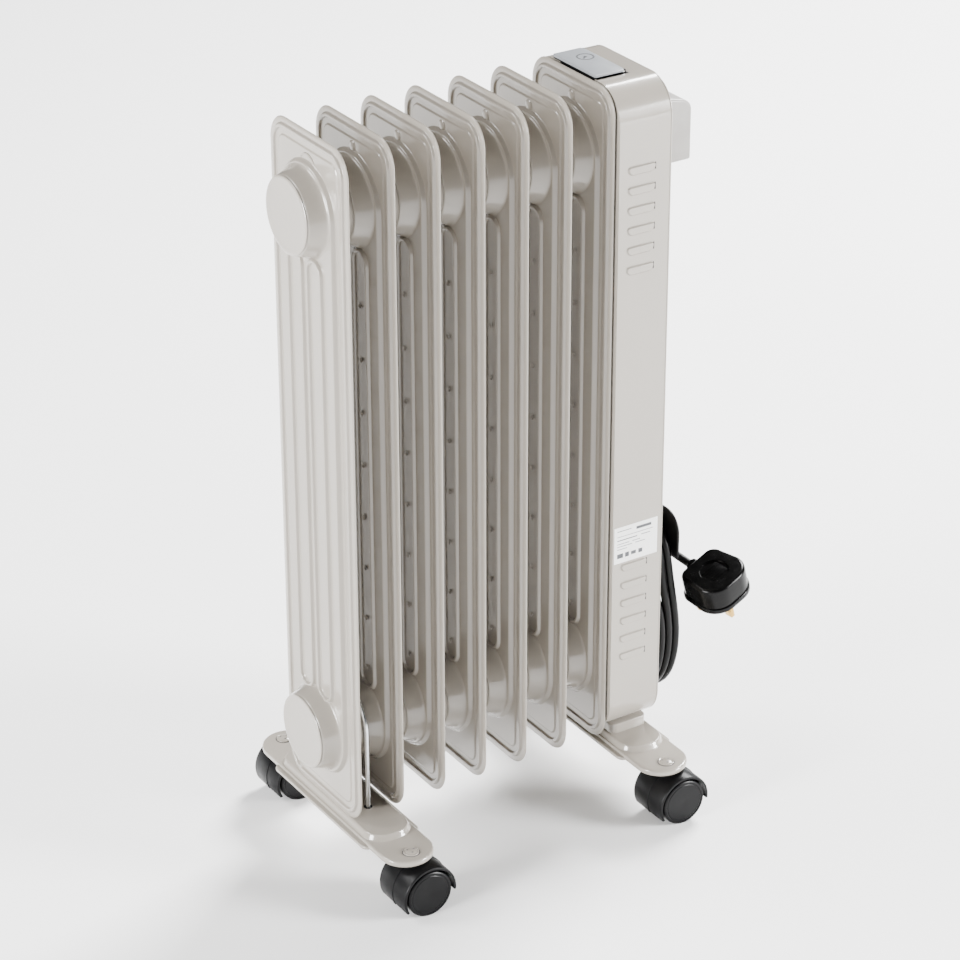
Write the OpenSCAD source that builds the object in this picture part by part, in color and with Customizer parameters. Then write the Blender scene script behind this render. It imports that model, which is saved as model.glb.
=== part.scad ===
/* [Radiator] */
// number of pressed fins in the stack
fin_count = 7; // [3:1:11]
// distance from one fin to the next
fin_pitch = 40; // [34:1:50]
// width of a fin across the stack
fin_w = 116; // [100:1:160]
// height of a fin
fin_h = 588; // [400:1:640]
// height of the fins' lower edge above the floor
fin_z = 58; // [50:1:80]
// radius of the round corners of a fin
fin_corner = 23; // [15:1:35]
// outer radius of a boss where two fins are welded together
boss_r = 31.4; // [26:0.2:36]
// radius of a boss where it leaves the fin
boss_base_r = 36; // [30:0.5:42]
// height of the lower collector's axis above the fin's lower edge
lower_axis = 69; // [50:1:90]
// height of the upper collector's axis above the fin's lower edge
upper_axis = 524; // [400:1:560]

/* [Control box] */
// width of the casing across the stack
box_w = 123.4; // [110:0.2:160]
// depth of the casing along the stack
box_d = 48.2; // [44:0.2:80]
// height of the casing's lower edge above the fins' lower edge
box_rise = 8.7; // [0:0.1:20]
// radius of the round corners of the casing
box_corner = 29; // [20:1:40]
// how far the carrying handle stands out of the front panel
handle_out = 27; // [20:1:45]
// length of the top lid across the stack
lid_l = 60; // [40:1:90]

/* [Feet and castors] */
// overall length of a foot, across the stack
foot_l = 236; // [200:1:320]
// width of a foot along the stack
foot_w = 54; // [45:1:70]
// distance between the centres of the two feet
foot_gap = 253; // [200:1:400]
// distance of a castor's stem from the middle of the foot
stem_y = 104; // [80:1:140]
// radius of a castor wheel
wheel_r = 20.5; // [15:0.5:25]
// distance of the wheel axle behind the stem
trail = 6; // [4:0.5:14]

/* [Supply cord] */
// diameter of the supply cord
cord_d = 7.2; // [6:0.1:8]
// number of turns wound on the cord hooks
cord_turns = 3; // [2:1:4]

/* [Hidden] */
$fn = 64;

enamel = [0.87, 0.85, 0.82];
grey_plastic = [0.72, 0.73, 0.74];
black_plastic = [0.05, 0.05, 0.055];
steel = [0.75, 0.76, 0.78];
brass = [0.78, 0.62, 0.33];
copper = [0.72, 0.45, 0.3];
paper = [0.95, 0.95, 0.95];
lamp_red = [0.75, 0.12, 0.08];

// positions along the stack, measured from the middle of the whole radiator
half_pitch = fin_pitch / 2;
cap_t = 1.2;
stack_l = (fin_count - 1) * fin_pitch;
seam_gap = 1.4;
flange_t = 1.6;
box_back = stack_l + flange_t / 2 + seam_gap;
panel_t = 2;
box_front = box_back + box_d + panel_t;
hook_out = 36;
reach_front = box_front + max(handle_out, hook_out);
reach_back = half_pitch + cap_t;
first_x = (reach_back - reach_front) / 2;
function fin_x(i) = first_x + i * fin_pitch;
back_x = first_x + box_back;
face_x = first_x + box_front;
last_x = fin_x(fin_count - 1);

lower_z = fin_z + lower_axis;
upper_z = fin_z + upper_axis;
box_z = fin_z + box_rise;
box_h = fin_h - box_rise;
box_top = box_z + box_h;

// fin pressing
rim = 10;
panel_half = 1.8;
capsule_r = 37.5;
capsule_half = 5.5;
skin = 1;
loop_half = 8;
loop_w = 25;
loop_bead = 5.5;
loop_y = 14.5;
loop_low = lower_axis + 43;
loop_high = upper_axis - 46;
bore_r = 29;

// sheet and fits
wall = 1.2;
fit = 0.05;

// lid
lid_t = 2.2;
lid_axis_x = back_x + 27.2;
barrel_r = 2;
lid_axis_z = box_top + 1.4;
lid_y = 3;
lid_front_x = back_x + 0.2;
pin_r = 0.8;
tray_back_x = back_x + 1;
tray_d = 30;
tray_depth = 13;
tray_wall = 1.4;
tray_l = lid_l + 2.4;

// front panel parts
knob_z = fin_z + 457;
knob_r = 21;
switch_z = fin_z + 397;
switch_y = 13;
switch_w = 13.4;
switch_h = 30;
handle_top = fin_z + 569;
handle_low = fin_z + 513;
handle_l = 100;
handle_wall = 4;

// cord hooks and hank
hook_half = 39.6;
hook_corner = 26;
hank_in = hook_half + 0.1;
hank_out = hank_in + cord_d + 0.2;
hank_top = fin_z + 188.6;
hank_low = fin_z + 15;
hank_gap = 0.4;
hank_t = cord_turns * cord_d + 0.2;
hank_bow = 11;
hook_split = fin_z + 153;
hook_rise = fin_z + 60;
lip_half = 50;
lip_top = fin_z + 193;
lip_corner = 18;
lip_t = 2.6;
lip_x = face_x + 24.2;
drum_lift = 1.4;
relief_y = 12;
relief_x = face_x + 12;
relief_l = 26;

// plug, held with its pins down
plug_at = [346.9 + first_x, -60, fin_z + 138.1];
plug_turn = [-3.1, 18.1, -169.8];
plug_w = 49;
plug_t = 21;
plug_rise = 5;

// feet
foot_x = [first_x + 18.5, first_x + 18.5 + foot_gap];
deck_z = fin_z - 5;
skirt_z = 47;
sheet = 1.8;
pad_w = 46;
flange_l = 152;
block_w = 45;
block_l = 160;
riser_w = 36;
riser_l = 100;
bush_r = 9;
bush_z = 45.8;
stem_r = 4;
clamp_r = 2.25;
clamp_x = [fin_x(0) + half_pitch, last_x + 17.5];
clamp_y = [boss_r + clamp_r + 0.15, boss_r + clamp_r + 1];

// castors
hood_r = 24.8;
hood_t = 2.2;
hood_w = 40;
axle_r = 2;
wheel_t = 15.2;
wheel_in = 4.4;
web_half = 3.5;
axle_half = 15;

// route of the cord from the strain relief to the hank, as [x from the panel, y, z from the fins]
inlet_route = [[12, 12, 85], [12, 12, 95], [12, 12, 107], [11.6, 8.5, 119], [11.2, 0, 129],
  [10.6, -12, 134.5], [10.2, -25, 132.5], [10.8, -35, 124], [12.2, -41, 113], [14, -43.4, 99]];
// route of the cord from the hank to the plug, as [x from the panel, y, z from the fins]
lead_route = [[32.6, 43.4, 96], [32.9, 43.4, 108], [33.4, 41.2, 122.5], [34.8, 33.6, 134.5],
  [38, 21.2, 140.5], [42.5, 5.4, 140], [46, -6.7, 136.5], [49.2, -19, 132.8], [51.8, -31.5, 131.1]];

function route_at(pts) = [for (p = pts) [p[0] + face_x, p[1], p[2] + fin_z]];
function unit(v) = v / norm(v);
function tangent(pts, i) = unit(pts[min(i + 1, len(pts) - 1)] - pts[max(i - 1, 0)]);
function side(t) = unit(cross(t, abs(t[0]) < 0.9 ? [1, 0, 0] : [0, 1, 0]));
function ring(pts, i, r, sides) = let (t = tangent(pts, i), a = side(t), b = cross(t, a))
  [for (k = [0 : sides - 1]) pts[i] + r * (cos(360 * k / sides) * a + sin(360 * k / sides) * b)];

// a tube of round section swept along a list of points
module tube(pts, r, sides = 8) {
  n = len(pts);
  walls = [for (i = [0 : n - 2], k = [0 : sides - 1])
    [i * sides + k, (i + 1) * sides + k, (i + 1) * sides + (k + 1) % sides, i * sides + (k + 1) % sides]];
  start = [for (k = [0 : sides - 1]) k];
  end = [for (k = [sides - 1 : -1 : 0]) (n - 1) * sides + k];
  polyhedron([for (i = [0 : n - 1]) each ring(pts, i, r, sides)], concat(walls, [start], [end]));
}

// an outline drawn as (across, up), made a plate that runs along the stack
module plate_x(x, t) {
  translate([x, 0, 0]) rotate([90, 0, 90]) linear_extrude(t) children();
}

// a round bar along the stack
module bar_x(x, y, z, r, l) {
  translate([x, y, z]) rotate([0, 90, 0]) cylinder(h = l, r = r);
}

// a round bar across the stack, centred on y
module bar_y(x, y, z, r, l) {
  translate([x, y + l / 2, z]) rotate([90, 0, 0]) cylinder(h = l, r = r);
}

module round_rect(w, h, r) {
  square([w - 2 * r, h], center = true);
  square([w, h - 2 * r], center = true);
  for (sy = [-1, 1], sz = [-1, 1]) {
    translate([sy * (w / 2 - r), sz * (h / 2 - r)]) circle(r);
  }
}

module capsule(r, low, high) {
  translate([-r, low]) square([2 * r, high - low]);
  translate([0, low]) circle(r);
  translate([0, high]) circle(r);
}

module at_height(z) {
  translate([0, z]) children();
}

// one fin: welded rim, raised panel, oil space round both bosses and two stiffening loops
module fin(i) {
  mid = fin_h / 2;
  color(enamel) translate([fin_x(i), 0, fin_z]) difference() {
    union() {
      plate_x(-flange_t / 2, flange_t) at_height(mid) round_rect(fin_w, fin_h, fin_corner);
      plate_x(-panel_half, 2 * panel_half)
        at_height(mid) round_rect(fin_w - 2 * rim, fin_h - 2 * rim, fin_corner - 9);
      plate_x(-capsule_half, 2 * capsule_half) capsule(capsule_r, lower_axis, upper_axis);
      for (sy = [-1, 1]) {
        plate_x(-loop_half, 2 * loop_half) translate([sy * loop_y, 0]) difference() {
          capsule(loop_w / 2, loop_low, loop_high);
          capsule(loop_w / 2 - loop_bead, loop_low, loop_high);
        }
      }
      for (z = [lower_axis, upper_axis], s = [0, 1]) {
        mirror([s, 0, 0]) translate([0, 0, z]) rotate([0, 90, 0]) translate([0, 0, capsule_half])
          cylinder(h = half_pitch - capsule_half, r1 = boss_base_r, r2 = boss_r);
      }
    }
    for (z = [lower_axis, upper_axis]) {
      bar_x(-half_pitch - 1, 0, z, bore_r, fin_pitch + 2);
    }
    plate_x(skin - capsule_half, 2 * (capsule_half - skin))
      capsule(capsule_r - 2 * skin, lower_axis, upper_axis);
  }
}

module end_cap(z) {
  color(enamel) bar_x(fin_x(0) - half_pitch - cap_t, 0, z, boss_r, cap_t);
}

module filler_plug() {
  plug_x = last_x + half_pitch;
  color(steel) {
    bar_x(plug_x, 0, upper_z, boss_r, 2);
    translate([plug_x + 2, 0, upper_z]) rotate([0, 90, 0]) cylinder(h = 6, r = 9, $fn = 6);
    bar_x(plug_x + 8, 0, upper_z, 5, 2);
  }
}

// two hairpin elements that lie side by side in the lower collector
element_r = 4;
element_z = 9;
element_y = 11;
element_tip = fin_x(0) + 14;
element_end = last_x + half_pitch + 10;
module heating_element() {
  color(steel) for (sy = [-1, 1]) {
    for (sz = [-1, 1]) {
      bar_x(element_tip, sy * element_y, lower_z + sz * element_z, element_r, element_end - element_tip);
      bar_x(element_end, sy * element_y, lower_z + sz * element_z, 1.8, 7);
    }
    translate([element_tip, sy * element_y, lower_z]) rotate([90, 0, 0])
      rotate_extrude(angle = 180, start = 90) translate([element_z, 0]) circle(element_r);
  }
}

module element_flange() {
  flange_x = last_x + half_pitch;
  color(brass) difference() {
    union() {
      bar_x(flange_x, 0, lower_z, boss_r, 3);
      translate([flange_x + 3, 0, lower_z]) rotate([0, 90, 0]) cylinder(h = 7, r = 26, $fn = 6);
    }
    for (sy = [-1, 1], sz = [-1, 1]) {
      bar_x(flange_x - 1, sy * element_y, lower_z + sz * element_z, element_r + 0.02, 12);
    }
  }
}

// half-pierced vents in the two long sides of the casing
louvre_w = 27;
louvre_h = 8.4;
louvre_out = 1.6;
louvre_pitch = 17;
louvre_x = 21.4;
louvre_rows = [[fin_z + 431.5, 6], [fin_z + 78.8, 6]];
module louvre_shape() {
  intersection() {
    round_rect(louvre_w, 2 * louvre_h, louvre_h - 0.4);
    translate([-louvre_w / 2, -louvre_h]) square([louvre_w, louvre_h]);
  }
}

module casing() {
  mid = box_z + box_h / 2;
  color(enamel) difference() {
    union() {
      plate_x(back_x, box_d) at_height(mid) round_rect(box_w, box_h, box_corner);
      for (row = louvre_rows, k = [0 : row[1] - 1], s = [0, 1]) {
        mirror([0, s, 0]) translate([back_x + louvre_x, -box_w / 2 + 1, row[0] + k * louvre_pitch + louvre_h])
          rotate([90, 0, 0]) linear_extrude(1 + louvre_out) louvre_shape();
      }
    }
    plate_x(back_x - 1, box_d + 2) at_height(mid)
      round_rect(box_w - 2 * wall, box_h - 2 * wall, box_corner - wall);
    for (row = louvre_rows, k = [0 : row[1] - 1], s = [0, 1]) {
      mirror([0, s, 0]) translate([back_x + louvre_x, -box_w / 2 + 2, row[0] + k * louvre_pitch + louvre_h])
        rotate([90, 0, 0]) linear_extrude(2.6) louvre_hollow();
    }
    translate([tray_back_x - fit, lid_y - tray_l / 2 - fit, box_top - 5])
      cube([tray_d + 2 * fit, tray_l + 2 * fit, 10]);
    for (sy = [-1, 1]) {
      translate([clamp_x[1], sy * clamp_y[1], box_z - 2]) cylinder(h = 6, r = clamp_r + 0.6);
    }
  }
}

// the inside of a vent: its upper edge is the slot that lets air through
module louvre_hollow() {
  translate([0, 0.6]) intersection() {
    round_rect(louvre_w - 2.4, 2 * (louvre_h - 1.2), louvre_h - 1.6);
    translate([-louvre_w / 2, -louvre_h]) square([louvre_w, louvre_h]);
  }
}

module back_plate() {
  plate_back = back_x + 7;
  mid = box_z + box_h / 2;
  color(steel) difference() {
    plate_x(plate_back, wall) at_height(mid)
      round_rect(box_w - 2 * wall, box_h - 2 * wall, box_corner - wall);
    for (z = [lower_z, upper_z]) {
      bar_x(plate_back - 1, 0, z, boss_base_r, 4);
    }
    translate([plate_back - 1, lid_y - tray_l / 2 - 1, box_top - tray_depth - 1]) cube([4, tray_l + 2, 20]);
  }
}

// panel that closes the casing, with its handle screwed on from behind
module front_panel() {
  mid = box_z + box_h / 2;
  color(enamel) difference() {
    plate_x(face_x - panel_t, panel_t) at_height(mid) round_rect(box_w, box_h, box_corner);
    bar_x(face_x - 5, 0, knob_z, 3.6, 10);
    for (sy = [-1, 1]) {
      translate([face_x - 5, sy * switch_y - (switch_w - 2.4) / 2, switch_z - (switch_h - 3) / 2])
        cube([10, switch_w - 2.4, switch_h - 3]);
    }
  }
}

module handle_side(grow) {
  polygon([[0, handle_low - grow], [handle_out - grow, handle_low - grow],
    [handle_out - grow, handle_top - 12 - grow], [handle_out - 3.5 - grow, handle_top - 6.5 - grow],
    [handle_out - 9 - grow, handle_top - 4 - grow], [0, handle_top - grow]]);
}

// hooded grip: closed above and in front, open below for the fingers
module carry_handle() {
  grip_l = handle_l - 2 * handle_wall;
  color(grey_plastic) difference() {
    translate([face_x, handle_l / 2, 0]) rotate([90, 0, 0]) linear_extrude(handle_l) handle_side(0);
    translate([face_x - 1, grip_l / 2, 0]) rotate([90, 0, 0]) linear_extrude(grip_l)
      translate([1, 0]) handle_hollow();
    for (k = [0 : 2]) {
      bar_y(face_x + 6 + 4.5 * k, 0, handle_top + 0.6 - k * 0.7, 1.3, handle_l - 24);
    }
  }
}

module handle_hollow() {
  translate([-1, handle_low - 5]) square([handle_out - handle_wall + 1, handle_top - handle_low - 4]);
}

module lid_tray() {
  floor_z = box_top - tray_depth;
  color(black_plastic) translate([0, lid_y, 0]) {
    difference() {
      translate([tray_back_x, -tray_l / 2, floor_z]) cube([tray_d, tray_l, tray_depth]);
      translate([tray_back_x + tray_wall, -tray_l / 2 + tray_wall, floor_z + tray_wall])
        cube([tray_d - 2 * tray_wall - 4.6, tray_l - 2 * tray_wall, tray_depth]);
      bar_y(lid_axis_x, 0, lid_axis_z, barrel_r + 0.35, tray_l + 2);
    }
    lid_ears();
  }
}

// ears that hold the pin, one at each end of the barrel
ear_y = lid_l / 2 - 1.5;
ear_t = 2;
module lid_ears() {
  for (sy = [-1, 1]) {
    difference() {
      translate([lid_axis_x - 1.8, sy * ear_y - ear_t / 2, box_top - 3])
        cube([3.6, ear_t, lid_axis_z + 1.4 - box_top + 3]);
      bar_y(lid_axis_x, sy * ear_y, lid_axis_z, pin_r + 0.02, 2 * ear_t);
    }
  }
}

module top_lid() {
  lid_w = lid_axis_x - lid_front_x;
  lid_top = lid_axis_z + barrel_r;
  color(grey_plastic) translate([0, lid_y, 0]) difference() {
    union() {
      translate([lid_front_x, -lid_l / 2, lid_top - lid_t]) cube([lid_w, lid_l, lid_t]);
      bar_y(lid_axis_x, 0, lid_axis_z, barrel_r, 2 * ear_y - 3);
    }
    bar_y(lid_axis_x, 0, lid_axis_z, pin_r + fit, lid_l + 4);
    for (sy = [-1, 1]) {
      translate([lid_axis_x - 2.6, sy * ear_y - 1.8, lid_top - 6]) cube([6, 3.6, 8]);
    }
  }
}

module lid_pin() {
  color(steel) bar_y(lid_axis_x, lid_y, lid_axis_z, pin_r, 2 * ear_y + ear_t);
}

module thermostat_body() {
  color(grey_plastic) difference() {
    union() {
      translate([face_x - panel_t - 19, -14, knob_z - 16]) cube([18.5, 28, 32]);
      bar_x(face_x - panel_t - 1, 0, knob_z, 3.5, 3);
    }
    bar_x(face_x - panel_t - 12, 0, knob_z, 3 + fit, 20);
  }
}

module thermostat_shaft() {
  color(steel) bar_x(face_x - panel_t - 11.5, 0, knob_z, 3, 24.5);
}

module thermostat_knob() {
  knob_x = face_x + 1.2;
  color(grey_plastic) difference() {
    union() {
      bar_x(knob_x, 0, knob_z, knob_r, 4);
      translate([knob_x + 4, 0, knob_z]) rotate([0, 90, 0])
        cylinder(h = 10, r1 = knob_r - 2.5, r2 = knob_r - 4);
      translate([knob_x + 12, -1.2, knob_z + 6]) cube([3, 2.4, 9.5]);
    }
    bar_x(knob_x - 1, 0, knob_z, 3, 10.8);
  }
}

module switch_housings() {
  color(black_plastic) for (sy = [-1, 1]) {
    translate([face_x, sy * switch_y, switch_z]) difference() {
      union() {
        translate([-12, -(switch_w - 2.6) / 2, -(switch_h - 3.2) / 2])
          cube([12, switch_w - 2.6, switch_h - 3.2]);
        translate([0, -switch_w / 2, -switch_h / 2]) cube([1.4, switch_w, switch_h]);
      }
      translate([-8, -(switch_w - 5) / 2, -(switch_h - 6) / 2]) cube([12, switch_w - 5, switch_h - 6]);
      bar_y(-2.2, 0, 0, 1, switch_w - 2.9);
    }
  }
}

// rocker that tips about its trunnions; its lower end is down when it is off
rocker_tip = 9;
module rocker(y) {
  color(lamp_red) translate([face_x, y, switch_z]) translate([-2.2, 0, 0]) {
    rotate([0, rocker_tip, 0]) intersection() {
      translate([-3, -(switch_w - 5.8) / 2, -11.2]) cube([8, switch_w - 5.8, 22.4]);
      bar_y(-22, 0, 0, 26.4, 20);
    }
    bar_y(0, 0, 0, 0.95, switch_w - 3.1);
  }
}

module thermal_cutout() {
  cut_x = back_x + 7 + wall;
  color(steel) {
    translate([cut_x, -8, upper_z - 125]) cube([3, 16, 24]);
    bar_x(cut_x + 3, 0, upper_z - 113, 7, 8);
  }
}

module terminal_block() {
  color(grey_plastic) translate([face_x - panel_t - 16, -16, fin_z + 245]) difference() {
    cube([15.5, 32, 14]);
    for (k = [0 : 2]) {
      translate([7.7, 6 + 10 * k, -1]) cylinder(h = 16, r = 2.2);
    }
  }
}

// wires drawn as straight runs between the parts inside the casing
module inner_wiring() {
  wire_x = face_x - panel_t - 8.3;
  color(copper) {
    for (k = [0 : 2]) {
      translate([wire_x, -10 + 10 * k, fin_z + 259.5]) cylinder(h = 120, r = 1.2);
      translate([wire_x, -10 + 10 * k, fin_z + 121]) cylinder(h = 123.5, r = 1.2);
    }
  }
}

module strain_relief() {
  color(black_plastic) translate([relief_x, relief_y, hook_rise]) {
    cylinder(h = relief_l - 1, r1 = 5.6, r2 = 4.4);
    translate([0, 0, -2.5]) cylinder(h = 2.6, r = 7);
  }
}

// outline of the cord hooks' round drum, as (across, up)
module drum_outline(low, high, lift) {
  intersection() {
    translate([0, (hank_top + hank_low) / 2 + lift])
      round_rect(2 * hook_half, hank_top - hank_low - 2 * (cord_d + 0.3), hook_corner);
    translate([-60, low]) square([120, high - low]);
  }
}

module upper_cord_hook() {
  color(black_plastic) {
    plate_x(face_x, lip_x - face_x) drum_outline(hook_split, hank_top, 0);
    plate_x(lip_x, lip_t) intersection() {
      translate([0, lip_top - 40]) round_rect(2 * lip_half, 80, lip_corner);
      translate([-60, hook_split]) square([120, 60]);
    }
  }
}

module lower_cord_hook() {
  lower_lip = face_x + hook_out - lip_t;
  color(black_plastic) difference() {
    union() {
      plate_x(face_x, lower_lip - face_x) drum_outline(fin_z, hook_rise, drum_lift);
      translate([0, 0, hank_low + 10]) plate_x(lower_lip, lip_t) round_rect(34, 24, 8);
    }
    translate([relief_x, relief_y, hook_rise - 2.5]) cylinder(h = 4, r = 7.02);
    bar_x(face_x - 1, relief_y, hook_rise - 12, cord_d / 2 + 0.3, relief_x - face_x + 1);
    translate([relief_x, relief_y, hook_rise - 12]) cylinder(h = 14, r = cord_d / 2 + 0.3);
  }
}

module supply_cord_inlet() {
  color(black_plastic) tube(route_at(inlet_route), cord_d / 2);
}

module supply_cord_lead() {
  color(black_plastic) tube(route_at(lead_route), cord_d / 2);
}

// how far the hank stands off the panel at a height: it bows out below the upper hook
function hank_drop(z) = (hank_top - z) / (hank_top - hank_low);
function hank_x(z) = hank_gap + hank_bow * pow(sin(180 * pow(hank_drop(z), 1.6)), 1.5);

// outer shape of the turns on the hooks
module cord_hank() {
  mid = (hank_top + hank_low) / 2;
  rows = [for (k = [0 : 16]) hank_top - (hank_top - hank_low) * k / 16];
  inner = [for (z = rows) [face_x + hank_x(z), z]];
  outer = [for (k = [16 : -1 : 0]) [face_x + hank_x(rows[k]) + hank_t, rows[k]]];
  color(black_plastic) intersection() {
    plate_x(face_x, 60) at_height(mid) difference() {
      round_rect(2 * hank_out, hank_top - hank_low, hook_corner + cord_d);
      round_rect(2 * hank_in, hank_top - hank_low - 2 * (cord_d + 0.2), hook_corner);
    }
    translate([0, 60, 0]) rotate([90, 0, 0]) linear_extrude(120) polygon(concat(inner, outer));
  }
}

// the plug's own frame: pins point along -Z, the earth side is +Y, the cord enters at -Y
module at_plug() {
  translate(plug_at) rotate(plug_turn) children();
}

module plug_outline(grow) {
  intersection() {
    translate([0, 2]) circle(27.5 + grow);
    translate([-plug_w / 2 - grow, -21 - grow]) square([plug_w + 2 * grow, 46 + 2 * grow]);
  }
}

module plug_body() {
  color(black_plastic) at_plug() {
    difference() {
      union() {
        translate([0, 0, -plug_t]) linear_extrude(plug_t) plug_outline(0);
        translate([0, 0, -plug_t - plug_rise]) linear_extrude(plug_rise) plug_outline(1.2);
        translate([0, -27.5, -9]) rotate([-90, 0, 0]) cylinder(h = 9, r1 = 5.2, r2 = 7.5);
      }
      translate([0, 3, -2.4]) cylinder(h = 3, r = 13);
      translate([0, 11, -plug_t - plug_rise - 0.1]) cube([4.1, 8.1, 16], center = true);
      for (s = [-1, 1]) {
        translate([s * 11.1, -11.3, -plug_t - plug_rise - 0.1]) cube([6.5, 4.1, 16], center = true);
      }
      translate([-4, -9, -plug_t - plug_rise - 1]) cube([8, 14, 4]);
    }
  }
}

module plug_pins() {
  face = -plug_t - plug_rise;
  color(brass) at_plug() {
    translate([-2, 7, face - 22.7]) cube([4, 8, 30]);
    for (s = [-1, 1]) {
      translate([s * 11.1 - 3.2, -13.3, face - 17.7]) cube([6.4, 4, 25]);
    }
  }
}

module plug_fuse_cover() {
  color(black_plastic) at_plug() translate([-3.9, -8.9, -plug_t - plug_rise]) cube([7.8, 13.8, 2.9]);
}

module rating_label() {
  color(paper) translate([back_x + 1.4, -box_w / 2 - 0.25, fin_z + 173.5]) cube([43.4, 0.25, 33.6]);
}

module stadium(l, w) {
  square([w, l - w], center = true);
  for (s = [-1, 1]) {
    translate([0, s * (l - w) / 2]) circle(w / 2);
  }
}

module foot_outline(grow) {
  round_rect(foot_w + 2 * grow, flange_l + 2 * grow, 8);
  stadium(foot_l + 2 * grow, pad_w + 2 * grow);
}

module block_outline(grow) {
  round_rect(block_w + 2 * grow, block_l + 2 * grow, 16 + grow);
}

// pressed foot: a shallow flanged tray with a raised block along its middle
// the rear one has a packer under the box
module foot(n) {
  color(enamel) translate([foot_x[n], 0, 0]) difference() {
    union() {
      translate([0, 0, skirt_z]) linear_extrude(deck_z - skirt_z) foot_outline(0);
      translate([0, 0, skirt_z]) linear_extrude(fin_z - skirt_z) block_outline(0);
      if (n == 1) {
        translate([0, 0, fin_z - 0.5]) linear_extrude(box_rise + 0.5) round_rect(riser_w, riser_l, 6);
      }
      for (s = [-1, 1]) {
        translate([0, s * stem_y, bush_z]) cylinder(h = deck_z - bush_z, r = bush_r);
      }
    }
    difference() {
      translate([0, 0, skirt_z - 1]) linear_extrude(deck_z - sheet - skirt_z + 1) foot_outline(-sheet);
      for (s = [-1, 1]) {
        translate([0, s * stem_y, bush_z - 2]) cylinder(h = 20, r = bush_r);
      }
    }
    translate([0, 0, skirt_z - 1]) linear_extrude(fin_z - sheet - skirt_z + 1) block_outline(-sheet);
    for (s = [-1, 1]) {
      translate([0, s * stem_y, bush_z - 1]) cylinder(h = 20, r = stem_r);
      translate([clamp_x[n] - foot_x[n], s * clamp_y[n], fin_z - 6]) cylinder(h = 16, r = clamp_r + 0.6);
    }
  }
}

// bent rod that goes over the collector and is drawn down by two nuts
module clamp(n) {
  color(steel) translate([clamp_x[n], 0, lower_z]) {
    rotate([90, 0, 90]) rotate_extrude(angle = 180) translate([clamp_y[n], 0]) circle(clamp_r);
    for (s = [-1, 1]) {
      translate([0, s * clamp_y[n], fin_z - 9 - lower_z]) cylinder(h = lower_z - fin_z + 9, r = clamp_r);
    }
  }
}

module clamp_nuts() {
  color(steel) for (n = [0, 1], s = [-1, 1]) {
    translate([clamp_x[n], s * clamp_y[n], fin_z - sheet - 4.5]) difference() {
      cylinder(h = 4.5, r = 4.6, $fn = 6);
      translate([0, 0, -1]) cylinder(h = 7, r = clamp_r);
    }
  }
}

function castor_at(n) = [foot_x[n < 2 ? 0 : 1], (n % 2 == 0 ? -1 : 1) * stem_y, 0];

module castor_stems() {
  color(steel) for (n = [0 : 3]) {
    translate(castor_at(n)) {
      translate([0, 0, 27]) cylinder(h = deck_z - 27, r = stem_r);
      translate([0, 0, deck_z]) cylinder(h = 1.8, r = 6.6);
    }
  }
}

// fender over both wheels, with a web between them that holds the stem and the axle
module castor_hood(n) {
  color(black_plastic) translate(castor_at(n)) difference() {
    union() {
      difference() {
        bar_y(trail, 0, wheel_r, hood_r, hood_w);
        bar_y(trail, 0, wheel_r, hood_r - hood_t, hood_w + 2);
        translate([-40, -30, -10]) cube([40 + trail - 5, 60, wheel_r - 1]);
        translate([0, -30, -10]) cube([60, 60, wheel_r + 8]);
      }
      difference() {
        bar_y(trail, 0, wheel_r, hood_r - hood_t + 0.5, 2 * web_half);
        translate([-40, -30, -20]) cube([100, 60, 30]);
      }
      translate([0, 0, 12]) cylinder(h = bush_z - 12, r = 8);
    }
    translate([0, 0, 26.5]) cylinder(h = 30, r = stem_r + fit);
    bar_y(trail, 0, wheel_r, axle_r, hood_w);
    for (s = [-1, 1]) {
      bar_y(trail, s * (web_half + 10), wheel_r, wheel_r + 1, 20);
    }
  }
}

module castor_wheel(n, s) {
  color(black_plastic) translate(castor_at(n)) difference() {
    bar_y(trail, s * (wheel_in + wheel_t / 2), wheel_r, wheel_r, wheel_t);
    bar_y(trail, s * (wheel_in + 5), wheel_r, axle_r + fit, 12);
    bar_y(trail, s * (wheel_in + wheel_t), wheel_r, wheel_r - 2.5, 1);
  }
}

module castor_axle(n) {
  color(steel) translate(castor_at(n)) bar_y(trail, 0, wheel_r, axle_r, 2 * axle_half);
}

fin(0);  // fin_1
fin(1);  // fin_2
fin(2);  // fin_3
fin(3);  // fin_4
fin(4);  // fin_5
fin(5);  // fin_6
fin(6);  // fin_7
end_cap(upper_z);  // upper_end_cap
end_cap(lower_z);  // lower_end_cap
filler_plug();
heating_element();
element_flange();
casing();
back_plate();
front_panel();
carry_handle();
lid_tray();
top_lid();
lid_pin();
thermostat_body();
thermostat_shaft();
thermostat_knob();
switch_housings();
rocker(-switch_y);  // low_heat_rocker
rocker(switch_y);  // high_heat_rocker
thermal_cutout();
terminal_block();
inner_wiring();
strain_relief();
upper_cord_hook();
lower_cord_hook();
supply_cord_inlet();
cord_hank();
supply_cord_lead();
plug_body();
plug_pins();
plug_fuse_cover();
rating_label();
foot(0);  // front_foot
foot(1);  // rear_foot
clamp(0);  // front_clamp
clamp(1);  // rear_clamp
clamp_nuts();
castor_stems();
castor_hood(0);  // castor_1_hood
castor_wheel(0, -1);  // castor_1_wheel_a
castor_wheel(0, 1);  // castor_1_wheel_b
castor_axle(0);  // castor_1_axle
castor_hood(1);  // castor_2_hood
castor_wheel(1, -1);  // castor_2_wheel_a
castor_wheel(1, 1);  // castor_2_wheel_b
castor_axle(1);  // castor_2_axle
castor_hood(2);  // castor_3_hood
castor_wheel(2, -1);  // castor_3_wheel_a
castor_wheel(2, 1);  // castor_3_wheel_b
castor_axle(2);  // castor_3_axle
castor_hood(3);  // castor_4_hood
castor_wheel(3, -1);  // castor_4_wheel_a
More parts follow.
